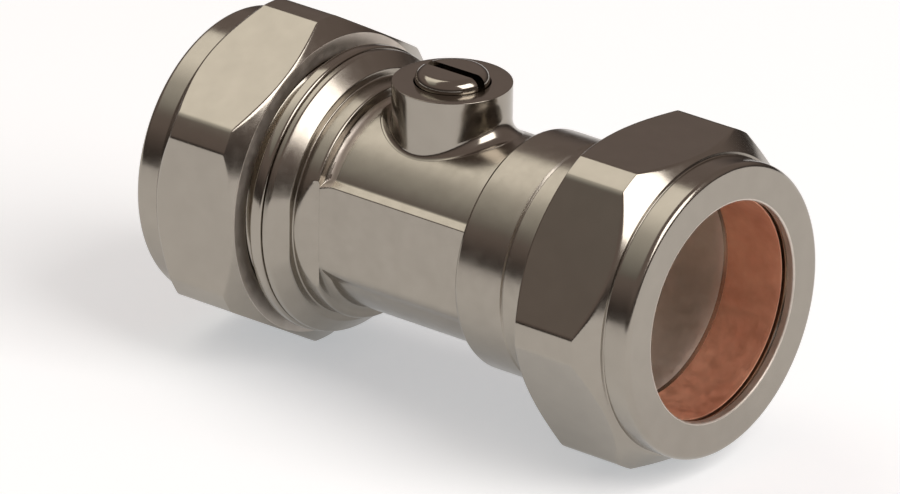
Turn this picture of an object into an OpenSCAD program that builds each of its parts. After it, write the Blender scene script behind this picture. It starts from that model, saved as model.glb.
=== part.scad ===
// Quarter-turn isolating valve for copper pipe, with a compression joint at each end.
// The pipe runs along X and the spindle stands up along Z. The origin lies on the
// pipe axis, midway between the outer faces of the two nuts. The valve is shown open.
// The body is one forging with the outlet end in one piece. The inlet end is a tail
// piece that screws into the body and shuts the ball in between its two seats.

/* [Pipe sockets] */
// Outside diameter of the copper pipe
pipe_d = 22; // [20.5:0.1:22.5]
// Gap between the pipe and the socket wall, at the radius
pipe_gap = 0.1; // [0.06:0.01:0.15]
// How far the outlet pipe goes into the body
outlet_socket_depth = 12; // [9:0.5:13]
// Thickness of the tail piece's wall behind the end of the inlet pipe
inlet_web = 0.8; // [0.6:0.1:1.2]
// How much wider the mouth of the olive's conical seat is than the socket, at the radius
seat_flare = 1.35; // [1.2:0.05:1.5]
// Angle between the conical seat and the pipe
seat_angle = 35.4; // [30:0.1:45]

/* [Compression nuts] */
// Size across the flats of the hexagon
nut_af = 31; // [30:0.5:32.5]
// Diameter that the hexagon's corners are turned down to
nut_corner_d = 34.4; // [33.5:0.1:35.5]
// Whole length of a nut
nut_len = 13.2; // [12.5:0.1:14.5]
// Step between the flats and the nut's rear face, at the radius
nut_rear_step = 0.2; // [0.1:0.05:0.5]
// Length of the cone behind the hexagon's corners
nut_rear_cone = 1.3; // [1:0.1:1.8]
// Length of the cone in front of them
nut_front_cone = 2; // [1.4:0.1:2.6]
// Diameter of the plain nose
nose_d = 29.8; // [29:0.1:30.4]
// Length of the plain nose
nose_len = 3; // [2.4:0.1:3.6]
// Radius of the nose's outer edge
nose_edge = 0.6; // [0.3:0.1:1]
// Thickness of the nut's outer lip round the pipe
nut_lip = 1.5; // [1.2:0.1:1.8]
// Gap between the inlet nut and the flange of the tail piece
inlet_nut_gap = 1.25; // [0.8:0.05:2]

/* [Threads] */
// Width of the flat rim between the conical seat and the thread's chamfer
rim_land = 0.05; // [0.03:0.01:0.2]
// Running gap between a nut and its thread, at the radius
thread_gap = 0.05; // [0.03:0.01:0.1]
// Length of the threaded stretch at the outlet
thread_len = 6.2; // [5:0.1:7]
// Length of the plain neck between the inlet's thread and the tail piece's flange
neck_len = 1.2; // [0.5:0.1:1.5]

/* [Olives] */
// Thickness of an olive's wall
olive_wall = 1.3; // [1:0.05:1.5]
// Length of an olive
olive_len = 6.35; // [5.8:0.05:6.8]
// Wall left at the thin ends of an olive
olive_edge = 0.3; // [0.2:0.05:0.4]
// Play along the pipe between an olive and its nut
olive_play = 0.035; // [0.02:0.005:0.2]

/* [Body] */
// Diameter of the barrel round the ball
barrel_d = 21.3; // [21:0.1:22.5]
// Distance from the spindle axis to the near side of the bead
bead_at = 8; // [7.6:0.1:9]
// Width of the bead between the barrel and the bell mouth
bead_w = 2.1; // [1.4:0.1:2.6]
// Diameter of that bead
bead_d = 24.2; // [23.6:0.1:25]
// Length of the bell mouth beyond the bead
bell_len = 2.1; // [1.6:0.1:3]
// Largest diameter of the bell mouth
bell_d = 28.8; // [27.6:0.1:29.6]
// Radius of the hollow between the barrel and the bead
bead_fillet = 1.2; // [0.8:0.1:1.2]
// Distance from the spindle axis to the edge of the outlet collar
collar_at = 10.5; // [9:0.1:12]
// Depth of the compression thread, so of the step between it and the outlet collar
collar_step = 1; // [0.6:0.1:1.2]
// Distance from the spindle axis to the fine groove round the collar
collar_groove_at = 16.3; // [15:0.1:17]
// Thickness of the tail piece's flange
flange_t = 1.4; // [1:0.1:1.8]
// Step between the bell mouth and that flange, at the radius
flange_step = 0.2; // [0.1:0.1:0.6]

/* [Marking pads] */
// Depth of each pad's flat below the side of the barrel
pad_sink = 0.55; // [0.3:0.05:0.8]
// Height of the upper edge of the pads above the pipe axis
pad_top = 4.9; // [4:0.1:6]
// Depth of the lower edge of the pads below the pipe axis
pad_bottom = 4.3; // [3.6:0.1:6]
// Height of the sloping lip along the pad's upper edge
pad_lip = 0.4; // [0.2:0.1:0.8]
// Height of the sloping toe along the pad's lower edge
pad_toe = 0.9; // [0.3:0.1:1.5]
// Distance from the spindle axis to the ramp at the inlet end of the pads
pad_ramp_at = 7.9; // [7.6:0.1:8.4]
// Angle between that ramp and the flat
pad_ramp_angle = 48; // [42:1:60]
// Wall left between each pad's flat and the recess for the tail piece
pad_wall = 0.75; // [0.5:0.05:1]

/* [Spindle boss] */
// Diameter of the boss
boss_d = 11.9; // [11.6:0.1:13]
// Height of the boss above the pipe axis
boss_top = 14.9; // [14.6:0.1:17]
// Radius of the fillet at the foot of the boss, along the pipe
boss_fillet = 1.7; // [1:0.1:2]
// Radius of that fillet at the sides of the boss
boss_side_fillet = 0.7; // [0.5:0.1:1.5]

/* [Ball and seats] */
// Diameter of the ball
ball_d = 16; // [15.6:0.1:16.2]
// Diameter of the way through the ball and the valve
way_d = 10; // [8:0.5:10]
// Distance from the spindle axis to the back of each seat
seat_back = 8.2; // [7.8:0.1:8.5]
// Length of each seat
seat_len = 3.2; // [2.6:0.1:3.4]
// Gap between the ball and its seats
seat_gap = 0.05; // [0.03:0.01:0.08]
// Thickness of the wall between the outlet seat and the outlet pipe
outlet_web = 7; // [6:0.1:8]

/* [Spindle] */
// Diameter of the spindle and its head
spindle_d = 7.4; // [6.8:0.1:7.6]
// Running gap round the spindle, at the radius
spindle_gap = 0.05; // [0.03:0.01:0.08]
// Height of the head above the boss
head_rise = 1.2; // [0.8:0.1:2]
// Radius of the head's rounded edge
head_edge = 0.6; // [0.3:0.1:0.7]
// Width of the screwdriver slot
slot_w = 1.3; // [1:0.1:1.6]
// Depth of the screwdriver slot
slot_depth = 1.6; // [1:0.1:1.8]
// Diameter of the shoulder that keeps the spindle in
shoulder_d = 9.4; // [9:0.1:9.6]
// Thickness of the tongue that turns the ball
tongue_t = 2.4; // [2:0.1:3]
// Width of the tongue
tongue_w = 7; // [5:0.5:7.5]
// Cross-section diameter of the spindle's O-rings
oring_section = 1.26; // [1:0.02:1.3]

/* [Hidden] */
$fn = 120;
overcut = 1;

plated = "#b9b2a8";
copper = "#b5714b";
white_plastic = "#eceae4";
black_rubber = "#2b2b2d";

socket_r = pipe_d / 2 + pipe_gap;
barrel_r = barrel_d / 2;
boss_r = boss_d / 2;
way_r = way_d / 2;

// The conical seat for an olive, and the thread round it
seat_cone_depth = seat_flare / tan(seat_angle);
thread_chamfer = 0.7;
thread_r = socket_r + seat_flare + rim_land + thread_chamfer;
collar_r = thread_r - collar_step;

// An olive's thin end meets its conical seat
olive_slip = 0.03;
olive_inset = (seat_flare - olive_edge - olive_slip) / tan(seat_angle);
nut_reach = olive_len - olive_inset + olive_edge + olive_play + nut_lip;

// Places along the pipe, measured from the spindle axis
body_end = bead_at + bead_w + bell_len;
flange_end = body_end + flange_t;
outlet_stop = seat_back + outlet_web;
outlet_rim = outlet_stop + outlet_socket_depth;
outlet_face = outlet_rim + nut_reach;
inlet_face = flange_end + inlet_nut_gap + nut_len;
inlet_rim = inlet_face - nut_reach;
inlet_stop = body_end + inlet_web;
spindle_x = (inlet_face - outlet_face) / 2;

// The chamber for the ball, the pads outside it, and the recess for the tail piece
chamber_gap = 0.6;
seat_slip = 0.05;
chamber_r = ball_d / 2 + chamber_gap;
pad_face = barrel_r - pad_sink;
recess_r = pad_face - pad_wall;
tail_thread_r = recess_r - thread_gap;
recess_floor = seat_back - seat_slip;

// The tail piece's flange and the neck behind it
flange_r = bell_d / 2 + flange_step;
flange_edge = 0.25;
tail_thread_chamfer = 0.4;
neck_r = thread_r - thread_chamfer;

// Levels up the spindle, from the top of the ball
shoulder_lift = 0.52;
shoulder_t = 0.95;
washer_slip = 0.03;
washer_t = 0.5;
shoulder_bottom = ball_d / 2 + shoulder_lift;
shoulder_top = shoulder_bottom + shoulder_t;
washer_bottom = shoulder_top + washer_slip;
washer_top = washer_bottom + washer_t;
washer_step = 0.05;
washer_r = shoulder_d / 2 + washer_step;
pocket_r = washer_r + spindle_gap;
spindle_r = spindle_d / 2;
spindle_bore_r = spindle_r + spindle_gap;
head_top = boss_top + head_rise;
slot_bottom = head_top - slot_depth;
oring_slip = 0.04;
gland_play = 0.34;
gland_r = spindle_bore_r - oring_section - oring_slip;
gland_w = oring_section + gland_play;
gland_rest = (min(boss_top, slot_bottom) - washer_top - 2 * gland_w) / 3;
lower_gland = washer_top + gland_rest;
upper_gland = lower_gland + gland_w + gland_rest;

// The slot across the ball, and the spindle's tongue in it
slot_web = 0.9;
tongue_lift = 0.2;
tongue_slip = 0.1;
slot_floor = way_r + slot_web;
tongue_end = slot_floor + tongue_lift;
tongue_bite = 0.1;

// Points on an arc about [x, y], from angle a to angle b
function arc(x, y, r, a, b, steps = 6) =
    [for (i = [0:steps]) let (t = a + (b - a) * i / steps) [x + r * cos(t), y + r * sin(t)]];

// A solid of revolution about the pipe, from points [distance along X, radius]
module turned(points) {
    rotate([0, 90, 0])
        rotate_extrude()
            polygon([for (p = points) [p[1], p[0]]]);
}

// A round bar or bore along the pipe, between two places on it
module along(from, to, r) {
    translate([from, 0, 0])
        rotate([0, 90, 0])
            cylinder(h = to - from, r = r);
}

// The threaded outside of a compression end that points along +X
function thread_outline(start, rim, root_r) = [
    [start, root_r],
    [start + thread_r - root_r, thread_r],
    [rim - thread_chamfer, thread_r],
    [rim, thread_r - thread_chamfer]
];

// The pipe socket of a compression end, with the conical seat at its rim
module socket(stop, rim) {
    along(stop, rim + overcut, socket_r);
    turned([
        [rim - seat_cone_depth, 0],
        [rim - seat_cone_depth, socket_r],
        [rim, socket_r + seat_flare],
        [rim + overcut, socket_r + seat_flare],
        [rim + overcut, 0]
    ]);
}

// Outline of the body forging, from the inlet's bell mouth to the outlet's rim
bell_r = bell_d / 2;
bead_r = bead_d / 2;
bell_edge = 0.5;
bell_foot = 0.8;
bell_arc_end = 75;
bead_edge = 0.2;
bead_hollow = min(bead_fillet, bead_r - bead_edge - barrel_r);
collar_slope = 0.5;
collar_edge = 0.2;
collar_groove_w = 0.36;
collar_groove_depth = 0.25;
body_outline = concat(
    [[-body_end, 0]],
    arc(-body_end + bell_edge, bell_r - bell_edge, bell_edge, 180, bell_arc_end, 4),
    [[-bead_at - bead_w, bead_r + bell_foot],
     [-bead_at - bead_w, bead_r],
     [-bead_at - bead_edge, bead_r],
     [-bead_at, bead_r - bead_edge]],
    arc(-bead_at + bead_hollow, barrel_r + bead_hollow, bead_hollow, 180, 270),
    [[collar_at - collar_slope, barrel_r],
     [collar_at, collar_r - collar_edge],
     [collar_at + collar_edge, collar_r],
     [collar_groove_at - collar_groove_w / 2, collar_r],
     [collar_groove_at, collar_r - collar_groove_depth],
     [collar_groove_at + collar_groove_w / 2, collar_r]],
    thread_outline(outlet_rim - thread_len, outlet_rim, collar_r),
    [[outlet_rim, 0]]
);

// Fillet between the upright boss and the lying barrel. A ball of radius r rolls
// round the foot. Its radius grows from the sides of the boss to the ends.
full_turn = 360;
fillet_turns = 60;
fillet_steps = 6;
fillet_bite = 0.03;
fillet_root = 0.7;
function fillet_r(a) = boss_side_fillet + (boss_fillet - boss_side_fillet) * pow(cos(a), 2);
function roll_centre(a, r) =
    let (out = boss_r + r - fillet_bite, up = barrel_r + r - fillet_bite)
    [out * cos(a), out * sin(a), sqrt(up * up - pow(out * sin(a), 2))];
function unit(v) = v / norm(v);
function fillet_section(a) =
    let (r = fillet_r(a),
         c = roll_centre(a, r),
         to_boss = [-cos(a), -sin(a), 0],
         to_barrel = unit([0, -c[1], -c[2]]),
         spread = acos(to_boss * to_barrel),
         root = c + r * to_barrel,
         inner = boss_r - fillet_root)
    concat(
        [[inner * cos(a), inner * sin(a), c[2]]],
        [for (i = [0:fillet_steps])
            c + r * (sin(spread * (1 - i / fillet_steps)) * to_boss
                     + sin(spread * i / fillet_steps) * to_barrel) / sin(spread)],
        [[inner * cos(a), inner * sin(a), root[2] - fillet_root]]
    );
module boss_foot() {
    per = fillet_steps + 3;
    points = [for (i = [0:fillet_turns - 1]) each fillet_section(full_turn * i / fillet_turns)];
    faces = [
        for (i = [0:fillet_turns - 1], j = [0:per - 1])
            let (n = (i + 1) % fillet_turns,
                 k = (j + 1) % per,
                 a = i * per + j,
                 b = n * per + j,
                 c = n * per + k,
                 d = i * per + k)
            each [[a, c, b], [a, d, c]]
    ];
    polyhedron(points, faces);
}

// What is cut away above each marking pad's flat, on the side that faces -Y. A ramp
// through the bead and the bell mouth is left at its inlet end.
pad_slope = 40;
module pad_cut() {
    start = -body_end - overcut;
    reach = bell_r;
    difference() {
        translate([start, 0, 0])
            rotate([90, 0, 90])
                linear_extrude(collar_at - collar_slope - start)
                    polygon([
                        [-pad_face, -pad_bottom],
                        [-pad_face - reach, -pad_bottom - reach * tan(pad_slope)],
                        [-pad_face - reach, pad_top + reach * tan(pad_slope)],
                        [-pad_face, pad_top]
                    ]);
        translate([-pad_ramp_at, -pad_face, 0])
            rotate([0, 0, pad_ramp_angle])
                translate([-3 * reach, 0, -2 * reach])
                    cube([3 * reach, 3 * reach, 4 * reach]);
    }
}

// The metal that carries each pad's flat, with its sloping lip and toe, where the
// barrel curves away from it
pad_root = 0.05;
function barrel_at(z) = sqrt(barrel_r * barrel_r - z * z) - pad_root;
module pad_bar() {
    start = -pad_ramp_at;
    top = pad_top + pad_lip;
    bottom = pad_bottom + pad_toe;
    translate([start, 0, 0])
        rotate([90, 0, 90])
            linear_extrude(collar_at - start)
                polygon([
                    [-pad_face, -pad_bottom],
                    [-pad_face, pad_top],
                    [-barrel_at(top), top],
                    [-barrel_at(bottom), -bottom]
                ]);
}

module valve_body() {
    color(plated)
    translate([spindle_x, 0, 0])
    difference() {
        union() {
            difference() {
                turned(body_outline);
                pad_cut();
                mirror([0, 1, 0]) pad_cut();
            }
            pad_bar();
            mirror([0, 1, 0]) pad_bar();
            cylinder(h = boss_top, r = boss_r);
            boss_foot();
        }
        along(-body_end - overcut, -recess_floor, recess_r);
        along(-recess_floor - overcut, seat_back, chamber_r);
        along(0, outlet_stop + overcut, way_r);
        socket(outlet_stop, outlet_rim);
        cylinder(h = washer_top, r = pocket_r);
        cylinder(h = boss_top + overcut, r = spindle_bore_r);
    }
}

// The tail piece lies mirrored: its outline runs from the ball towards the inlet
module tail_piece() {
    color(plated)
    translate([spindle_x, 0, 0])
    mirror([1, 0, 0])
    difference() {
        turned(concat(
            [[seat_back, 0],
             [seat_back, tail_thread_r - tail_thread_chamfer],
             [seat_back + tail_thread_chamfer, tail_thread_r],
             [body_end, tail_thread_r],
             [body_end, flange_r - flange_edge],
             [body_end + flange_edge, flange_r],
             [flange_end - flange_edge, flange_r],
             [flange_end, flange_r - flange_edge],
             [flange_end, neck_r]],
            thread_outline(flange_end + neck_len, inlet_rim, neck_r),
            [[inlet_rim, 0]]
        ));
        along(seat_back - overcut, inlet_stop + overcut, way_r);
        socket(inlet_stop, inlet_rim);
    }
}

module ball() {
    color(plated)
    translate([spindle_x, 0, 0])
    difference() {
        sphere(d = ball_d);
        along(-ball_d, ball_d, way_r);
        translate([-tongue_t / 2 - tongue_slip, -ball_d, slot_floor])
            cube([tongue_t + 2 * tongue_slip, 2 * ball_d, ball_d]);
    }
}

// A seat is a ring with a hollow face that the ball bears on. Its hole is a little
// wider than the way, so that its edge isn't in the stream.
seat_hole_step = 0.2;
module seat_ring() {
    difference() {
        along(seat_back - seat_len, seat_back, chamber_r - seat_slip);
        along(0, seat_back + overcut, way_r + seat_hole_step);
        sphere(r = ball_d / 2 + seat_gap);
    }
}

module outlet_seat() {
    color(white_plastic)
    translate([spindle_x, 0, 0])
        seat_ring();
}

module inlet_seat() {
    color(white_plastic)
    translate([spindle_x, 0, 0])
        mirror([1, 0, 0])
            seat_ring();
}

// Outline of the spindle, as [radius, height], from its foot to its rounded head
spindle_outline = concat(
    [[0, shoulder_bottom],
     [shoulder_d / 2, shoulder_bottom],
     [shoulder_d / 2, shoulder_top],
     [spindle_r, shoulder_top],
     [spindle_r, lower_gland],
     [gland_r, lower_gland],
     [gland_r, lower_gland + gland_w],
     [spindle_r, lower_gland + gland_w],
     [spindle_r, upper_gland],
     [gland_r, upper_gland],
     [gland_r, upper_gland + gland_w],
     [spindle_r, upper_gland + gland_w]],
    arc(spindle_r - head_edge, head_top - head_edge, head_edge, 0, 90),
    [[0, head_top]]
);

module spindle() {
    color(plated)
    translate([spindle_x, 0, 0])
    difference() {
        union() {
            rotate_extrude()
                polygon(spindle_outline);
            translate([-tongue_t / 2, -tongue_w / 2, tongue_end])
                cube([tongue_t, tongue_w, shoulder_bottom - tongue_end + tongue_bite]);
        }
        translate([-spindle_d, -slot_w / 2, slot_bottom])
            cube([2 * spindle_d, slot_w, slot_depth + overcut]);
    }
}

// An O-ring, squeezed between the floor of its groove and the boss's bore
module oring(level) {
    translate([spindle_x, 0, level + gland_w / 2])
        rotate_extrude()
            translate([gland_r + oring_section / 2, 0])
                circle(d = oring_section, $fn = 24);
}

module upper_oring() {
    color(black_rubber)
        oring(upper_gland);
}

module lower_oring() {
    color(black_rubber)
        oring(lower_gland);
}

module thrust_washer() {
    color(white_plastic)
    translate([spindle_x, 0, washer_bottom])
    difference() {
        cylinder(h = washer_t, r = washer_r);
        translate([0, 0, -overcut])
            cylinder(h = washer_t + 2 * overcut, r = spindle_bore_r);
    }
}

// A compression nut with its rear edge at zero and its nose along +X
nut_thread_r = thread_r + thread_gap;
nut_thread_mouth = 0.4;
nut_inner_cone = nut_thread_r - socket_r;
nut_rear_r = nut_af / 2 - nut_rear_step;
nut_shoulder = nut_len - nose_len;
nose_r = nose_d / 2;
nose_step = 0.3;
nose_step_len = 0.1;
nose_root = 0.5;
half_flat_turn = 30;
corner_up = 0;
flat_up = half_flat_turn;
lip_bite = 0.01;
nut_turned = concat(
    [[0, 0],
     [0, nut_rear_r],
     [nut_rear_cone, nut_corner_d / 2],
     [nut_shoulder - nut_front_cone, nut_corner_d / 2],
     [nut_shoulder, nose_r + nose_step],
     [nut_shoulder + nose_step_len, nose_r]],
    arc(nut_len - nose_edge, nose_r - nose_edge, nose_edge, 90, 0),
    [[nut_len, 0]]
);
nut_hollow = [
    [-overcut, 0],
    [-overcut, nut_thread_r + nut_thread_mouth],
    [0, nut_thread_r + nut_thread_mouth],
    [nut_thread_mouth, nut_thread_r],
    [nut_len - nut_lip - nut_inner_cone, nut_thread_r],
    [nut_len - nut_lip, socket_r],
    [nut_len - nut_lip, 0]
];
// The turn sets how the hexagon stands
module nut(turn) {
    rotate([turn, 0, 0])
    difference() {
        intersection() {
            turned(nut_turned);
            union() {
                rotate([0, 90, 0])
                    cylinder(h = nut_shoulder, d = nut_af / cos(half_flat_turn), $fn = 6);
                along(nut_shoulder - nose_root, nut_len, nose_r + nose_step);
            }
        }
        turned(nut_hollow);
        along(nut_len - nut_lip - lip_bite, nut_len + overcut, socket_r);
    }
}

module outlet_nut() {
    color(plated)
    translate([spindle_x + outlet_face - nut_len, 0, 0])
        nut(flat_up);
}

module inlet_nut() {
    color(plated)
    translate([spindle_x - inlet_face + nut_len, 0, 0])
        mirror([1, 0, 0])
            nut(corner_up);
}

// An olive with its inner end at zero, pointing out of the valve along +X. Both
// ends taper: the inner one like the conical seat, the outer one like the nut.
olive_rise = olive_wall - olive_edge;
olive_rise_len = olive_rise / tan(seat_angle);
module olive() {
    difference() {
        turned([
            [0, 0],
            [0, socket_r + olive_edge],
            [olive_rise_len, socket_r + olive_wall],
            [olive_len - olive_rise, socket_r + olive_wall],
            [olive_len, socket_r + olive_edge],
            [olive_len, 0]
        ]);
        along(-overcut, olive_len + overcut, socket_r);
    }
}

module outlet_olive() {
    color(copper)
    translate([spindle_x + outlet_rim - olive_inset, 0, 0])
        olive();
}

module inlet_olive() {
    color(copper)
    translate([spindle_x - inlet_rim + olive_inset, 0, 0])
        mirror([1, 0, 0])
            olive();
}

valve_body();
tail_piece();
ball();
inlet_seat();
outlet_seat();
spindle();
upper_oring();
lower_oring();
thrust_washer();
inlet_nut();
outlet_nut();
inlet_olive();
outlet_olive();
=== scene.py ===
import math

import bmesh
import bpy
import numpy as np
from mathutils import Matrix, Vector


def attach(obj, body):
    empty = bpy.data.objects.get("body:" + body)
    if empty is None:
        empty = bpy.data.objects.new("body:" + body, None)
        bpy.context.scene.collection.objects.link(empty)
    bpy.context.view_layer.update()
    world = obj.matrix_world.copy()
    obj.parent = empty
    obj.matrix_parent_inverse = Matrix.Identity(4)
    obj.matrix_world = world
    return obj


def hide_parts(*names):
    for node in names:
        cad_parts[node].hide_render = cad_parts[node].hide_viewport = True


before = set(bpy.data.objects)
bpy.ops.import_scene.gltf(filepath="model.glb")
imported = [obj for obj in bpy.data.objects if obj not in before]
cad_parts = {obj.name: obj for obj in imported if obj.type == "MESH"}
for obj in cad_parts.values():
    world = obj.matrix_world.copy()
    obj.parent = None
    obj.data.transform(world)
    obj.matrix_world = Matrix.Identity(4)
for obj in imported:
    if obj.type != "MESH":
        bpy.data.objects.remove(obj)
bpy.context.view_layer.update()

# Lengths below are in millimetres in the frame of the part, and MM turns them into metres.
MM = 0.001

# Sizes of the valve, as in its solids except where a comment says so. Places along the pipe count
# from the spindle axis.
SPINDLE_X = -2.95
OUTLET_FACE = 33.95
OUTLET_RIM = 27.2
OUTLET_STOP = 15.2
INLET_FACE = 28.05
INLET_RIM = 21.3
INLET_STOP = 13.0
SOCKET_R = 11.1
SEAT_R = 12.45
SEAT_DEPTH = 1.9
THREAD_R = 13.2
THREAD_END_R = 12.5
# The solids have plain cylinders in place of the threads, so these three belong to this model only.
THREAD_ROOT_R = 12.25
THREAD_PITCH = 1.814
THREAD_PHASE = 0.2
COLLAR_R = 12.2
COLLAR_AT = 10.5
COLLAR_GROOVE_AT = 16.3
COLLAR_GROOVE_HALF = 0.2
COLLAR_GROOVE_DEPTH = 0.25
THREAD_AT = 21.0
BARREL_R = 10.65
BEAD_R = 12.1
BEAD_AT = 8.0
BEAD_END = 10.1
HOLLOW_END = -7.0
BODY_END = 12.2
BELL_R = 14.4
BELL_FOOT_R = 12.9
CHAMBER_R = 8.6
TAIL_BORE_R = 9.35
TAIL_STEM_R = 9.3
SEAT_BACK = 8.2
WAY_R = 5.0
FLANGE_END = 13.6
FLANGE_R = 14.6
PAD_FACE = 10.1
PAD_TOP = 4.9
PAD_LIP = 0.4
PAD_BOTTOM = 4.3
PAD_TOE = 0.9
PAD_RAMP_AT = -7.9
PAD_RAMP_RISE = 1.11
PAD_RAMP_BLEND = 1.6
PAD_SIDE_SLOPE = 40
BOSS_R = 5.95
BOSS_TOP = 14.9
BOSS_FILLET = 1.7
BOSS_SIDE_FILLET = 0.7
BOSS_BORE_R = 3.8
BOSS_BORE_FLOOR = 11.5
HEAD_R = 3.7
HEAD_TOP = 16.1
HEAD_FOOT = 8.0
SLOT_DEPTH = 1.6
# The head's edge and the slot's width are as the photograph shows them.
HEAD_EDGE = 1.0
SLOT_W = 1.05
NUT_LEN = 13.2
NUT_FLAT_R = 15.5
NUT_CORNER_R = 17.2
NUT_REAR_R = 15.3
NUT_REAR_CONE = 1.3
NUT_FRONT_CONE = 2.0
NUT_SHOULDER = 10.2
NUT_LIP = 1.5
NUT_THREAD_R = 13.25
NOSE_R = 14.9
NOSE_EDGE = 0.6
OLIVE_LEN = 6.35
OLIVE_AT = 25.765
OLIVE_R = 12.4
OLIVE_END_R = 11.4
# The olive's outer end goes on as far as the nut's lip, further than in the solids.
OLIVE_REACH = 0.31


# Tools for meshes.
def smooth_min(a, b, reach):
    """The smaller of a and b, with the corner between them rounded over reach."""
    h = np.maximum(reach - np.abs(a - b), 0.0) / reach
    return np.minimum(a, b) - h * h * reach / 4


def smooth_max(a, b, reach):
    """The larger of a and b, with the corner between them rounded over reach."""
    return -smooth_min(-np.asarray(a), -np.asarray(b), reach)


def stations(start, end, marks, fine, coarse, reach):
    """Places from start to end, close together near the marks and wide apart elsewhere."""
    places = [start]
    while places[-1] < end:
        near = min(abs(places[-1] + fine / 2 - mark) for mark in marks)
        share = min(near / reach, 1.0)
        places.append(places[-1] + fine + (coarse - fine) * share)
    places = np.array(places)
    return start + (places - start) * (end - start) / (places[-1] - start)


def rounded(points, radii, steps):
    """A profile through points [x, r] with its corners rounded. Each radius belongs to one corner."""
    result = [points[0]]
    for before, corner, after, radius in zip(points, points[1:], points[2:], radii):
        corner = np.array(corner, float)
        arm_a = np.array(before, float) - corner
        arm_b = np.array(after, float) - corner
        length_a = np.linalg.norm(arm_a)
        length_b = np.linalg.norm(arm_b)
        arm_a = arm_a / length_a
        arm_b = arm_b / length_b
        half = math.acos(max(-1.0, min(1.0, float(arm_a @ arm_b)))) / 2
        nearly_straight = half > 1.55
        if radius <= 0 or nearly_straight:
            result.append(tuple(corner))
            continue
        cut = min(radius / math.tan(half), 0.48 * length_a, 0.48 * length_b)
        radius = cut * math.tan(half)
        middle = arm_a + arm_b
        middle = middle / np.linalg.norm(middle)
        centre = corner + middle * radius / math.sin(half)
        from_a = corner + arm_a * cut - centre
        from_b = corner + arm_b * cut - centre
        turn = math.pi - 2 * half
        for step in range(steps + 1):
            share = step / steps
            way = math.sin(turn * (1 - share)) * from_a + math.sin(turn * share) * from_b
            result.append(tuple(centre + way / math.sin(turn)))
    result.append(points[-1])
    return np.array(result, float)


def refine(profile, longest):
    """The same profile, with its straight stretches split where they are longer than longest."""
    result = [profile[0]]
    for a, b in zip(profile, profile[1:]):
        parts = max(1, math.ceil(np.linalg.norm(b - a) / longest))
        for part in range(1, parts + 1):
            result.append(a + (b - a) * part / parts)
    return np.array(result)


def make_mesh(name, grid, close_rows, material):
    """A smooth mesh from points [row, column, xyz] in millimetres, closed round its columns."""
    rows, columns, _ = grid.shape
    index = np.arange(rows * columns).reshape(rows, columns)
    last = rows if close_rows else rows - 1
    here = index[np.arange(last)]
    ahead = index[(np.arange(last) + 1) % rows]
    faces = np.stack([here, np.roll(here, -1, 1), np.roll(ahead, -1, 1), ahead], -1).reshape(-1, 4)
    mesh = bpy.data.meshes.new(name)
    mesh.vertices.add(rows * columns)
    mesh.vertices.foreach_set("co", (grid * MM).reshape(-1).astype(np.float32))
    mesh.loops.add(faces.size)
    mesh.loops.foreach_set("vertex_index", faces.reshape(-1).astype(np.int32))
    mesh.polygons.add(len(faces))
    mesh.polygons.foreach_set("loop_start", np.arange(0, faces.size, 4, dtype=np.int32))
    mesh.polygons.foreach_set("use_smooth", np.ones(len(faces), bool))
    mesh.update(calc_edges=True)
    mesh.validate()
    mesh.materials.append(material)
    piece = bpy.data.objects.new(name, mesh)
    bpy.context.scene.collection.objects.link(piece)
    return piece


def join_doubles(piece):
    """Makes one point of those that lie on one spot, so that the shading runs on smoothly."""
    work = bmesh.new()
    work.from_mesh(piece.data)
    bmesh.ops.remove_doubles(work, verts=work.verts, dist=0.001 * MM)
    work.to_mesh(piece.data)
    work.free()


def round_grid(profile, angles, shape=None):
    """Turns a profile [x, r] round the pipe. shape may change the radii by place and angle."""
    x = np.repeat(profile[:, :1], len(angles), 1)
    r = np.repeat(profile[:, 1:], len(angles), 1)
    if shape is not None:
        r = shape(x, r, np.repeat(angles[None, :], len(profile), 0))
    # Angle zero is the top, and a quarter turn on is the side that faces -Y.
    return np.stack([x, -r * np.sin(angles), r * np.cos(angles)], -1)


def full_turn(count):
    """Evenly spaced angles round a circle."""
    return np.linspace(0, 2 * math.pi, count, endpoint=False)


def turned(name, profile, material, angles, shape=None, mirror=False):
    """A piece turned round the pipe, in place. The profile's x counts from the spindle axis."""
    grid = round_grid(profile, angles, shape)
    if mirror:
        grid[..., 0] *= -1
        grid = grid[::-1]
    grid[..., 0] += SPINDLE_X
    return make_mesh(name, grid, True, material)


# Materials.
def new_material(name):
    """A material, its nodes, its links and its main shader."""
    material = bpy.data.materials.new(name)
    material.use_nodes = True
    nodes = material.node_tree.nodes
    return material, nodes, material.node_tree.links, nodes["Principled BSDF"]


def noise(nodes, links, scale, detail, place):
    """Soft noise. A larger scale makes it finer."""
    texture = nodes.new("ShaderNodeTexNoise")
    texture.inputs["Scale"].default_value = scale
    texture.inputs["Detail"].default_value = detail
    links.new(place, texture.inputs["Vector"])
    return texture.outputs["Fac"]


def ramp(nodes, links, value, low, high, from_low=0.3, from_high=0.7):
    """Maps a value to a range of numbers. The usual range of a noise is 0.3 to 0.7."""
    node = nodes.new("ShaderNodeMapRange")
    node.inputs["From Min"].default_value = from_low
    node.inputs["From Max"].default_value = from_high
    node.inputs["To Min"].default_value = low
    node.inputs["To Max"].default_value = high
    links.new(value, node.inputs["Value"])
    return node.outputs["Result"]


def tone(nodes, links, scale, detail, place, light, dark):
    """A colour that drifts between light and dark."""
    factor = ramp(nodes, links, noise(nodes, links, scale, detail, place), 0, 1)
    node = nodes.new("ShaderNodeMix")
    node.data_type = "RGBA"
    links.new(factor, node.inputs["Factor"])
    # A colour mix has its two colours at inputs 6 and 7, and its result at output 2.
    node.inputs[6].default_value = (*light, 1)
    node.inputs[7].default_value = (*dark, 1)
    return node.outputs[2]


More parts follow.
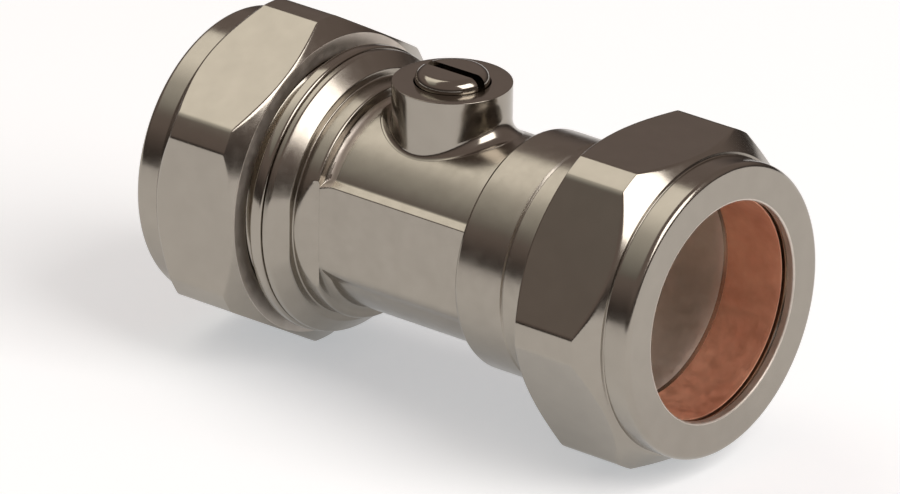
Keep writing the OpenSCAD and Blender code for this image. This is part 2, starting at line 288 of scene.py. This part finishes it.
def bump(nodes, links, height, depth, under=None):
    """Small relief, depth metres high, on top of the relief under it."""
    node = nodes.new("ShaderNodeBump")
    node.inputs["Strength"].default_value = 1
    node.inputs["Distance"].default_value = depth
    links.new(height, node.inputs["Height"])
    if under is not None:
        links.new(under, node.inputs["Normal"])
    return node.outputs["Normal"]


def metal(name, light, dark, rough_low, rough_high, grain_depth, wave_depth):
    """Plated metal: a fine grain, slow waves left by polishing, and small changes of tone."""
    material, nodes, links, shader = new_material(name)
    place = nodes.new("ShaderNodeTexCoord").outputs["Object"]
    links.new(tone(nodes, links, 420, 4, place, light, dark), shader.inputs["Base Color"])
    shader.inputs["Metallic"].default_value = 1
    wear = noise(nodes, links, 900, 5, place)
    links.new(ramp(nodes, links, wear, rough_low, rough_high), shader.inputs["Roughness"])
    grain = noise(nodes, links, 9000, 2, place)
    waves = noise(nodes, links, 260, 2, place)
    waved = bump(nodes, links, waves, wave_depth)
    links.new(bump(nodes, links, grain, grain_depth, waved), shader.inputs["Normal"])
    return material


# Name, light and dark colour, lowest and highest roughness, depth of the grain and of the waves.
plate = metal("plate", (0.34, 0.31, 0.268), (0.32, 0.292, 0.252), 0.14, 0.2, 2.2e-7, 4e-6)
turned_plate = metal("turned_plate", (0.34, 0.31, 0.268), (0.325, 0.296, 0.255), 0.1, 0.16, 1.6e-7, 2e-6)
cast_plate = metal("cast_plate", (0.34, 0.31, 0.268), (0.315, 0.287, 0.247), 0.19, 0.27, 4e-7, 5e-6)
sawn_plate = metal("sawn_plate", (0.36, 0.33, 0.29), (0.32, 0.29, 0.25), 0.4, 0.55, 3e-7, 3e-6)
# This plate's lighter colour is painted light: a painted highlight in the hollow above the pads, and
# painted light in the sockets and on the nuts' rear faces and holes, where shade would fall.
rough_plate_painted_light = metal("rough_plate_painted_light", (0.66, 0.6, 0.54), (0.58, 0.53, 0.47), 0.45, 0.6, 3e-7, 2e-6)
chrome = metal("chrome", (0.6, 0.6, 0.6), (0.56, 0.56, 0.57), 0.06, 0.12, 5e-8, 1e-6)
copper = metal("copper", (0.98, 0.58, 0.41), (0.84, 0.44, 0.3), 0.5, 0.66, 3e-7, 2e-6)


def plastic(name, light, dark, rough_low, rough_high, grain_depth):
    """Plastic or rubber, with one noise for its roughness and its grain."""
    material, nodes, links, shader = new_material(name)
    place = nodes.new("ShaderNodeTexCoord").outputs["Object"]
    links.new(tone(nodes, links, 300, 3, place, light, dark), shader.inputs["Base Color"])
    wear = noise(nodes, links, 1200, 4, place)
    links.new(ramp(nodes, links, wear, rough_low, rough_high), shader.inputs["Roughness"])
    links.new(bump(nodes, links, wear, grain_depth), shader.inputs["Normal"])
    return material


ptfe = plastic("ptfe", (0.82, 0.81, 0.77), (0.76, 0.75, 0.71), 0.35, 0.5, 2e-6)
rubber = plastic("rubber", (0.012, 0.012, 0.013), (0.02, 0.02, 0.021), 0.3, 0.5, 3e-6)


# The valve's body.
def section(angles):
    """Angle above the level of the pipe, on the nearer side, for each angle round the pipe."""
    turn = np.mod(angles, 2 * math.pi)
    return np.where(turn < math.pi, math.pi / 2 - turn, turn - 1.5 * math.pi)


def line_r(phi, a, b):
    """Distance from the pipe axis to the line through a and b, [out, up], at the angle phi."""
    way = (b[0] - a[0], b[1] - a[1])
    return (a[0] * way[1] - a[1] * way[0]) / (np.cos(phi) * way[1] - np.sin(phi) * way[0])


def pad_bar_r(phi, flat):
    """Outside of the bar that carries a pad: its flat, the lip above and the toe below."""
    lip_top = PAD_TOP + PAD_LIP
    toe_bottom = PAD_BOTTOM + PAD_TOE
    lip_out = math.sqrt(BARREL_R ** 2 - lip_top ** 2)
    toe_out = math.sqrt(BARREL_R ** 2 - toe_bottom ** 2)
    lip = line_r(phi, (PAD_FACE, PAD_TOP), (lip_out, lip_top))
    toe = line_r(phi, (toe_out, -toe_bottom), (PAD_FACE, -PAD_BOTTOM))
    lip_end = math.atan2(lip_top, lip_out)
    toe_end = -math.atan2(toe_bottom, toe_out)
    corner = math.atan2(PAD_TOP, PAD_FACE)
    foot = -math.atan2(PAD_BOTTOM, PAD_FACE)
    # Beyond these angles the two lines don't bound the bar, so they are put out of reach.
    overlap = 0.1
    slack = 0.01
    out_of_reach = 99.0
    lip = np.where((phi > corner - overlap) & (phi < lip_end + slack), lip, out_of_reach)
    toe = np.where((phi < foot + overlap) & (phi > toe_end - slack), toe, out_of_reach)
    lip_edge = 0.12
    toe_edge = 0.5
    r = smooth_min(smooth_min(flat, lip, lip_edge), toe, toe_edge)
    inside = (phi < lip_end + slack) & (phi > toe_end - slack)
    return np.where(inside, r, 0.0)


def body_shape(x, r, angles):
    """Cuts the pads into the turned body, and adds the bars that carry them."""
    phi = section(angles)
    slope = math.radians(PAD_SIDE_SLOPE)
    outward = np.maximum(np.cos(phi), 0.2)
    flat = PAD_FACE / outward
    ramp_up = (PAD_FACE + PAD_RAMP_RISE * (PAD_RAMP_AT - x)) / outward
    # The upper side of the notch slopes outwards from the pad's top.
    side = PAD_FACE * math.sin(slope) - PAD_TOP * math.cos(slope)
    side = side / np.maximum(np.sin(slope - phi), 0.02)
    notch = smooth_max(smooth_max(flat, side, 0.3), ramp_up, PAD_RAMP_BLEND)
    # Steep rises end the notch before the collar, and steep falls end the bar at the bead and the collar.
    notch = notch + 12 * np.maximum(x - COLLAR_AT + 0.5, 0)
    bar = pad_bar_r(phi, smooth_max(flat, ramp_up, PAD_RAMP_BLEND))
    bar = bar - 9 * np.maximum(-BEAD_AT - x, 0) - 9 * np.maximum(x - COLLAR_AT, 0)
    outside = r > BARREL_R - 1
    cut = smooth_min(r, notch, 0.16)
    return np.where(outside, smooth_max(cut, bar, 0.1), r)


def thread(x, r, angles, start, end):
    """Cuts a helical thread between two places into the radii r."""
    turn = np.mod((x - THREAD_PHASE) / THREAD_PITCH - angles / (2 * math.pi), 1.0)
    wave = np.abs(2 * turn - 1)
    depth = (THREAD_R - THREAD_ROOT_R) * np.clip(1.15 - 1.5 * wave, 0, 1)
    run_out = 0.8
    fade = np.clip((x - start) / run_out, 0, 1) * np.clip((end - x) / run_out, 0, 1)
    return np.where(x > start, smooth_min(r, THREAD_R - depth * fade, 0.06), r)


body_outer = rounded(
    [(-BODY_END, 13.0), (-BODY_END, BELL_R), (-BODY_END + 0.75, BELL_R - 0.02),
     (-BEAD_END, BELL_FOOT_R), (-BEAD_END, BEAD_R), (-BEAD_AT, BEAD_R),
     (-BEAD_AT, BARREL_R), (-2, BARREL_R)],
    [0.25, 0.35, 0.3, 0.15, 0.3, 1.15], 7)
body_outer = np.concatenate([
    refine(body_outer, 0.16),
    refine(rounded(
        [(-1.8, BARREL_R), (COLLAR_AT - 0.5, BARREL_R), (COLLAR_AT, COLLAR_R - 0.1),
         (COLLAR_AT + 0.25, COLLAR_R), (COLLAR_GROOVE_AT - COLLAR_GROOVE_HALF, COLLAR_R),
         (COLLAR_GROOVE_AT, COLLAR_R - COLLAR_GROOVE_DEPTH),
         (COLLAR_GROOVE_AT + COLLAR_GROOVE_HALF, COLLAR_R),
         (THREAD_AT, COLLAR_R), (THREAD_AT + 1.0, THREAD_R)],
        [0.25, 0.15, 0.15, 0.05, 0.05, 0.05, 0.1], 5), 0.3),
])
body_thread = refine(np.array([
    (THREAD_AT + 1.0, THREAD_R), (OUTLET_RIM - 0.7, THREAD_R), (OUTLET_RIM, THREAD_END_R)]), 0.15)[1:]
body_inner = refine(np.array([
    (OUTLET_RIM, SEAT_R), (OUTLET_RIM - SEAT_DEPTH, SOCKET_R), (OUTLET_STOP, SOCKET_R),
    (OUTLET_STOP, WAY_R), (SEAT_BACK, WAY_R), (SEAT_BACK, CHAMBER_R), (-SEAT_BACK, CHAMBER_R),
    (-SEAT_BACK, TAIL_BORE_R), (-BODY_END, TAIL_BORE_R)]), 2.0)
body_profile = np.concatenate([body_outer, body_thread, body_inner])
# Degrees round the pipe at which a pad has its edges. The mesh is finer there.
pad_marks = [64.1, 60.2, 63.0, 113.1, 119.3]
body_marks = pad_marks + [360 - mark for mark in pad_marks]
body_angles = np.radians(stations(0, 360, body_marks, 0.25, 1.5, 6)[:-1])


def body_and_thread(x, r, angles):
    """Shapes the pads, and cuts the outlet's thread into the outside."""
    outside = slice(len(body_outer) + len(body_thread))
    shaped = body_shape(x, r, angles)
    shaped[outside] = thread(x[outside], shaped[outside], angles[outside], THREAD_AT, OUTLET_RIM)
    return shaped


def refinish(piece, material, chosen):
    """Gives the faces that chosen(x, r, normal) picks another material. Places are in millimetres."""
    piece.data.materials.append(material)
    number = len(piece.data.materials) - 1
    for face in piece.data.polygons:
        radius = math.hypot(face.center.y, face.center.z) / MM
        if chosen(face.center.x / MM - SPINDLE_X, radius, face.normal):
            face.material_index = number


def rough_painted_light_faces(x, r, normal):
    """The hollow beside the bead, above the pads, and the inside of the outlet's pipe socket, where a
    lighter plate is painted light.
    """
    # In the hollow only the faces that look upwards get the painted highlight.
    in_hollow = -BEAD_AT < x < HOLLOW_END and normal.z > 0.45
    in_socket = x > OUTLET_STOP - 0.1 and r < SOCKET_R + 0.05
    return in_hollow or in_socket


body = turned("body_forging", body_profile, cast_plate, body_angles, body_and_thread)
join_doubles(body)
# The lighter plate on these faces is painted light: a painted highlight in the hollow and painted light in
# the socket.
refinish(body, rough_plate_painted_light, rough_painted_light_faces)


# The boss for the spindle, with the rolling-ball fillet at its foot.
def fillet_point(a, radius, share):
    """The fillet's centre and surface at the angle a, from the boss (share 0) to the barrel (share 1)."""
    out = BOSS_R + radius
    across = out * math.sin(a)
    height = math.sqrt((BARREL_R + radius) ** 2 - across ** 2)
    centre = np.array([out * math.cos(a), across, height])
    to_boss = np.array([-math.cos(a), -math.sin(a), 0.0])
    to_barrel = np.array([0.0, -centre[1], -centre[2]]) / math.hypot(centre[1], centre[2])
    spread = math.acos(float(to_boss @ to_barrel))
    way = math.sin(spread * (1 - share)) * to_boss + math.sin(spread * share) * to_barrel
    return centre, centre + radius * way / math.sin(spread)


def boss_grid():
    """The boss from its bore over its top and down its side to the end of the fillet."""
    count = 300
    side_rows = 12
    fillet_rows = 16
    side_top = BOSS_TOP - 1
    top = rounded(
        [(BOSS_BORE_R, BOSS_BORE_FLOOR), (BOSS_BORE_R, BOSS_TOP), (BOSS_R, BOSS_TOP), (BOSS_R, side_top)],
        [0.08, 0.07], 6)
    columns = []
    for a in full_turn(count):
        radius = BOSS_SIDE_FILLET + (BOSS_FILLET - BOSS_SIDE_FILLET) * math.cos(a) ** 2
        column = [(r * math.cos(a), r * math.sin(a), z) for r, z in top]
        centre, _ = fillet_point(a, radius, 0)
        for part in range(1, side_rows):
            z = side_top + (centre[2] - side_top) * part / side_rows
            column.append((BOSS_R * math.cos(a), BOSS_R * math.sin(a), z))
        for part in range(fillet_rows + 1):
            column.append(tuple(fillet_point(a, radius, part / fillet_rows)[1]))
        # The last row lies inside the barrel, so that no gap shows.
        _, end = fillet_point(a, radius, 1)
        inwards = np.array([0, -end[1], -end[2]]) / math.hypot(end[1], end[2])
        outwards = np.array([math.cos(a), math.sin(a), 0])
        column.append(tuple(end + 0.5 * inwards + 0.05 * outwards))
        columns.append(column)
    grid = np.array(columns).transpose(1, 0, 2)
    grid[..., 0] += SPINDLE_X
    return grid[::-1]


boss = make_mesh("boss", boss_grid(), False, plate)


# The tail piece.
tail_outer = rounded(
    [(SEAT_BACK, 6.0), (SEAT_BACK, TAIL_STEM_R), (BODY_END + 0.02, TAIL_STEM_R),
     (BODY_END + 0.02, FLANGE_R), (FLANGE_END, FLANGE_R), (FLANGE_END, THREAD_END_R),
     (FLANGE_END + 1.2, THREAD_END_R), (FLANGE_END + 1.9, THREAD_R)],
    [0.3, 0.0, 0.3, 0.3, 0.2, 0.1], 6)
tail_thread = refine(np.array([
    (FLANGE_END + 1.9, THREAD_R), (INLET_RIM - 0.7, THREAD_R), (INLET_RIM, THREAD_END_R)]), 0.15)[1:]
tail_inner = refine(np.array([
    (INLET_RIM, SEAT_R), (INLET_RIM - SEAT_DEPTH, SOCKET_R), (INLET_STOP, SOCKET_R),
    (INLET_STOP, WAY_R), (SEAT_BACK, WAY_R)]), 2.0)
tail_outer = refine(tail_outer, 0.4)
tail_profile = np.concatenate([tail_outer, tail_thread, tail_inner])


def tail_shape(x, r, angles):
    """Cuts the inlet's thread."""
    rows = slice(len(tail_outer), len(tail_outer) + len(tail_thread))
    shaped = r.copy()
    shaped[rows] = thread(x[rows], r[rows], angles[rows], FLANGE_END + 1.2, INLET_RIM)
    return shaped


tail = turned("tail_piece_turned", tail_profile, turned_plate, full_turn(300), tail_shape, mirror=True)
# The lighter plate inside the inlet's pipe socket is painted light where shade would fall.
refinish(tail, rough_plate_painted_light, lambda x, r, normal: x < 0.1 - INLET_STOP and r < SOCKET_R + 0.05)


# The nuts.
def nut_profile():
    """The nut's section [x, r] from its rear face. Rows lie close where it bends."""
    outer = rounded(
        [(0, 13.8), (0, NUT_REAR_R), (NUT_REAR_CONE, NUT_CORNER_R),
         (NUT_SHOULDER - NUT_FRONT_CONE, NUT_CORNER_R), (NUT_SHOULDER, NOSE_R + 0.3),
         (NUT_SHOULDER + 0.1, NOSE_R), (NUT_LEN, NOSE_R), (NUT_LEN, SOCKET_R),
         (NUT_LEN - NUT_LIP, SOCKET_R)],
        [0.25, 0.1, 0.1, 0.02, 0.1, NOSE_EDGE, 0.2], 7)
    cone_end = NUT_LEN - NUT_LIP - 2.15
    inner = [outer[-1], (cone_end, NUT_THREAD_R), (0.4, NUT_THREAD_R), (0, 13.65)]
    fine = refine(outer, 0.13)
    keep = [0]
    for i in range(1, len(fine)):
        x = fine[i][0]
        on_flats = NUT_REAR_CONE + 0.5 < x < NUT_SHOULDER - NUT_FRONT_CONE - 0.5
        on_nose = NUT_SHOULDER + 0.3 < x < NUT_LEN - NOSE_EDGE - 0.2
        gap = np.linalg.norm(fine[i] - fine[keep[-1]])
        if not (on_flats or on_nose) or gap > 0.8:
            keep.append(i)
    return np.concatenate([fine[keep], refine(np.array(inner), 1.0)[1:]])


def hexagon_angles():
    """Angles round a nut, close together where the flats meet the cones' round parts."""
    corner_half = math.degrees(math.acos(NUT_FLAT_R / NUT_CORNER_R))
    sector = stations(0, 60, [corner_half, 60 - corner_half], 0.16, 1.6, 9)[:-1]
    return np.radians(np.concatenate([sector + 60 * side for side in range(6)]))


def nut(name, face, turn, mirror):
    """A nut with its front face at a place along the pipe, turned so that a flat lies at the angle turn."""
    rear = face - NUT_LEN
    profile = nut_profile() + np.array([rear, 0])

    def hexagon(x, r, angles):
        """Cuts the six flats."""
        local = np.mod(angles - turn + math.pi / 6, math.pi / 3) - math.pi / 6
        flat = NUT_FLAT_R / np.cos(local)
        on_hexagon = (x - rear < NUT_SHOULDER - 0.02) & (r > 14)
        return np.where(on_hexagon, smooth_min(r, flat, 0.14), r)

    def rough_painted_light_faces(x, r, normal):
        """The nut's rear face, and its holes for the thread and the pipe, where a lighter plate is painted
        light.
        """
        rear_face = abs(abs(x) - rear) < 0.1 and abs(normal.x) > 0.9
        thread_hole = 13.0 < r < 13.7 and abs(x) < face - NUT_LIP
        return rear_face or thread_hole or r < SOCKET_R + 0.2

    piece = turned(name, profile, plate, hexagon_angles() + turn, hexagon, mirror)
    # The lighter plate on the rear face and in the holes is painted light that lifts the shade in the gap
    # behind the nut and in its holes.
    refinish(piece, rough_plate_painted_light, rough_painted_light_faces)
    return piece


outlet_nut = nut("outlet_nut_hex", OUTLET_FACE, 0.0, False)
inlet_nut = nut("inlet_nut_hex", INLET_FACE, math.pi / 6, True)

# The olives.
olive_profile = refine(rounded(
    [(3.0, SOCKET_R), (0, SOCKET_R), (0, OLIVE_END_R), (1.41, OLIVE_R), (OLIVE_LEN - 1, OLIVE_R),
     (OLIVE_LEN + OLIVE_REACH, OLIVE_END_R - 0.2), (OLIVE_LEN + OLIVE_REACH, SOCKET_R),
     (3.2, SOCKET_R)],
    [0.05, 0.05, 0.2, 0.2, 0.03, 0.03], 4), 0.5)


def olive(name, start, mirror):
    """An olive that begins at a place along the pipe."""
    profile = olive_profile + np.array([start, 0])
    return turned(name, profile, copper, full_turn(288), mirror=mirror)


outlet_olive = olive("outlet_olive_ring", OLIVE_AT, False)
inlet_olive = olive("inlet_olive_ring", INLET_RIM - OUTLET_RIM + OLIVE_AT, True)

# The spindle.
def spindle_grid():
    """The spindle's head and the stem below it, from the top down."""
    head = rounded([(0.001, HEAD_TOP), (HEAD_R, HEAD_TOP), (HEAD_R, HEAD_FOOT)], [HEAD_EDGE], 10)
    profile = refine(head, 0.4)
    angles = full_turn(240)
    r = np.repeat(profile[:, :1], len(angles), 1)
    z = np.repeat(profile[:, 1:], len(angles), 1)
    grid = np.stack([SPINDLE_X + r * np.cos(angles), r * np.sin(angles), z], -1)
    return grid[::-1]


def cut_slot(piece):
    """Cuts the screwdriver slot along the pipe and breaks its edges."""
    ends = (SPINDLE_X - 6, SPINDLE_X + 6)
    sides = (-SLOT_W / 2, SLOT_W / 2)
    heights = (HEAD_TOP - SLOT_DEPTH, HEAD_TOP + 2)
    corners = [(x, y, z) for x in ends for y in sides for z in heights]
    mesh = bpy.data.meshes.new("slot_cutter")
    faces = [(0, 1, 3, 2), (4, 6, 7, 5), (0, 4, 5, 1), (2, 3, 7, 6), (0, 2, 6, 4), (1, 5, 7, 3)]
    mesh.from_pydata([Vector(c) * MM for c in corners], [], faces)
    mesh.materials.append(sawn_plate)
    cutter = bpy.data.objects.new("slot_cutter", mesh)
    bpy.context.scene.collection.objects.link(cutter)
    modifier = piece.modifiers.new("slot", "BOOLEAN")
    modifier.operation = "DIFFERENCE"
    modifier.solver = "EXACT"
    modifier.object = cutter
    edges = piece.modifiers.new("edges", "BEVEL")
    edges.width = 0.07 * MM
    edges.segments = 3
    edges.limit_method = "ANGLE"
    edges.angle_limit = math.radians(35)
    edges.harden_normals = True
    depsgraph = bpy.context.evaluated_depsgraph_get()
    shaped = bpy.data.meshes.new_from_object(piece.evaluated_get(depsgraph))
    piece.modifiers.clear()
    piece.data = shaped
    bpy.data.objects.remove(cutter)
    bpy.data.meshes.remove(mesh)


spindle = make_mesh("spindle_head", spindle_grid(), False, turned_plate)
cut_slot(spindle)

# Which piece rides on which body, and what it replaces.
for piece, nodes, body_name, slot in [
    (body, ["valve_body"], "valve_body", "plated_brass"),
    (boss, [], "valve_body", "plated_brass"),
    (tail, ["tail_piece"], "valve_body", "plated_brass"),
    (outlet_nut, ["outlet_nut"], "outlet_nut", "plated_brass"),
    (inlet_nut, ["inlet_nut"], "inlet_nut", "plated_brass"),
    (outlet_olive, ["outlet_olive"], "valve_body", "copper"),
    (inlet_olive, ["inlet_olive"], "valve_body", "copper"),
    (spindle, ["spindle"], "spindle", "plated_brass"),
]:
    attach(piece, body_name)
    if nodes:
        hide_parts(*nodes)

for node, material in [
    ("ball", chrome), ("inlet_seat", ptfe), ("outlet_seat", ptfe),
    ("upper_oring", rubber), ("lower_oring", rubber), ("thrust_washer", ptfe),
]:
    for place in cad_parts[node].material_slots:
        place.material = material

# The studio.
FLOOR_Z = -17.2


def floor_material():
    """Pale card. Where the camera or a reflection sees it, a little light of its own makes it white."""
    material, nodes, links, shader = new_material("pale_card")
    nodes.remove(shader)
    output = nodes["Material Output"]
    matt = nodes.new("ShaderNodeBsdfDiffuse")
    matt.inputs["Color"].default_value = (0.86, 0.86, 0.86, 1)
    glow = nodes.new("ShaderNodeEmission")
    path = nodes.new("ShaderNodeLightPath")
    seen = nodes.new("ShaderNodeMath")
    seen.operation = "MAXIMUM"
    links.new(path.outputs["Is Camera Ray"], seen.inputs[0])
    links.new(path.outputs["Is Glossy Ray"], seen.inputs[1])
    seen_too = nodes.new("ShaderNodeMath")
    seen_too.operation = "MAXIMUM"
    links.new(seen.outputs[0], seen_too.inputs[0])
    links.new(path.outputs["Is Transmission Ray"], seen_too.inputs[1])
    strength = nodes.new("ShaderNodeMath")
    strength.operation = "MULTIPLY"
    strength.inputs[1].default_value = 0.42
    glow.inputs["Color"].default_value = (0.92, 0.96, 1.0, 1)
    links.new(seen_too.outputs[0], strength.inputs[0])
    links.new(strength.outputs[0], glow.inputs["Strength"])
    both = nodes.new("ShaderNodeAddShader")
    links.new(matt.outputs[0], both.inputs[0])
    links.new(glow.outputs[0], both.inputs[1])
    links.new(both.outputs[0], output.inputs["Surface"])
    return material


def add_floor():
    """A card under the valve. The metal mirrors its front edge as the end of the pale ground."""
    edges = [(-900, -280), (600, -280), (600, 900), (-900, 900)]
    corners = [(x * MM, y * MM, FLOOR_Z * MM) for x, y in edges]
    mesh = bpy.data.meshes.new("card")
    mesh.from_pydata(corners, [], [(0, 1, 2, 3)])
    mesh.materials.append(floor_material())
    card = bpy.data.objects.new("card", mesh)
    bpy.context.scene.collection.objects.link(card)


def add_light(name, towards, distance, width, height, radiance, colour):
    """A rectangular lamp that faces the valve. Radiance is how bright its face looks."""
    lamp = bpy.data.lights.new(name, "AREA")
    lamp.shape = "RECTANGLE"
    lamp.size = width
    lamp.size_y = height
    lamp.energy = radiance * math.pi * width * height
    lamp.color = colour
    holder = bpy.data.objects.new(name, lamp)
    way = Vector(towards).normalized()
    holder.location = way * distance
    holder.rotation_euler = way.to_track_quat("Z", "Y").to_euler()
    bpy.context.scene.collection.objects.link(holder)


def add_shaded_card(name, towards, distance, left, right, height, tones, colour):
    """A glowing card that faces the valve. The tones [place from left to right, strength] shade it."""
    material, nodes, links, shader = new_material(name)
    nodes.remove(shader)
    place = nodes.new("ShaderNodeTexCoord").outputs["Object"]
    split = nodes.new("ShaderNodeSeparateXYZ")
    links.new(place, split.inputs["Vector"])
    across = nodes.new("ShaderNodeMapRange")
    across.inputs["From Min"].default_value = left
    across.inputs["From Max"].default_value = right
    links.new(split.outputs["X"], across.inputs["Value"])
    shade = nodes.new("ShaderNodeValToRGB")
    stops = shade.color_ramp.elements
    strongest = max(strength for _, strength in tones)
    for number, (share, strength) in enumerate(tones):
        stop = stops[number] if number < 2 else stops.new(share)
        stop.position = share
        tint = strength / strongest
        stop.color = (tint, tint, tint, 1)
    links.new(across.outputs["Result"], shade.inputs["Fac"])
    level = nodes.new("ShaderNodeMath")
    level.operation = "MULTIPLY"
    level.inputs[1].default_value = strongest
    links.new(shade.outputs["Color"], level.inputs[0])
    glow = nodes.new("ShaderNodeEmission")
    glow.inputs["Color"].default_value = (*colour, 1)
    links.new(level.outputs[0], glow.inputs["Strength"])
    links.new(glow.outputs[0], nodes["Material Output"].inputs["Surface"])
    mesh = bpy.data.meshes.new(name)
    half = height / 2
    corners = [(left, -half, 0), (right, -half, 0), (right, half, 0), (left, half, 0)]
    mesh.from_pydata(corners, [], [(0, 1, 2, 3)])
    mesh.materials.append(material)
    card = bpy.data.objects.new(name, mesh)
    way = Vector(towards).normalized()
    card.location = way * distance
    card.rotation_euler = way.to_track_quat("Z", "Y").to_euler()
    bpy.context.scene.collection.objects.link(card)


add_floor()
add_shaded_card("beige_card", (-0.58, 0.03, 0.82), 0.6, -0.2, 0.72, 0.3,
                [(0.0, 1.75), (0.29, 1.75), (0.49, 0.85), (0.76, 0.5), (1.0, 0.24)], (1.0, 0.96, 0.87))
add_light("key_box", (0.73, 0.01, 0.67), 0.9, 0.6, 0.6, 4.6, (1.0, 0.98, 0.96))

world = bpy.data.worlds.new("room")
world.use_nodes = True
bpy.context.scene.world = world
sky_nodes = world.node_tree.nodes
sky_links = world.node_tree.links
sky_nodes["Background"].inputs["Color"].default_value = (1.0, 0.81, 0.735, 1)
sky_split = sky_nodes.new("ShaderNodeSeparateXYZ")
sky_links.new(sky_nodes.new("ShaderNodeTexCoord").outputs["Generated"], sky_split.inputs["Vector"])
# The room is darker near the horizon than above.
sky_level = ramp(sky_nodes, sky_links, sky_split.outputs["Z"], 0.07, 0.275, 0.08, 0.36)
sky_links.new(sky_level, sky_nodes["Background"].inputs["Strength"])


# The camera, as fitted to the photograph.
def add_camera():
    """Looks at the valve from the photograph's side, with the lens that fits its perspective."""
    azimuth = math.radians(39.154)
    elevation = math.radians(23.367)
    roll = math.radians(0.700)
    distance = 1000.0
    shift_right = -0.072
    shift_up = -2.540
    focal_pixels = 10193.3
    picture_width = 900
    back = Vector((math.sin(azimuth) * math.cos(elevation), -math.cos(azimuth) * math.cos(elevation),
                   math.sin(elevation)))
    level = Vector((math.cos(azimuth), math.sin(azimuth), 0))
    upright = back.cross(level)
    right = level * math.cos(roll) + upright * math.sin(roll)
    up = upright * math.cos(roll) - level * math.sin(roll)
    place = back * distance + right * shift_right + up * shift_up + Vector((SPINDLE_X, 0, 0))
    lens = bpy.data.cameras.new("camera")
    lens.sensor_width = 36
    lens.lens = focal_pixels / picture_width * lens.sensor_width
    lens.clip_start = 0.05
    lens.clip_end = 20
    camera = bpy.data.objects.new("camera", lens)
    camera.matrix_world = Matrix((
        (right.x, up.x, back.x, place.x * MM),
        (right.y, up.y, back.y, place.y * MM),
        (right.z, up.z, back.z, place.z * MM),
        (0, 0, 0, 1)))
    bpy.context.scene.collection.objects.link(camera)
    bpy.context.scene.camera = camera


add_camera()
bpy.context.scene.view_settings.view_transform = "Standard"
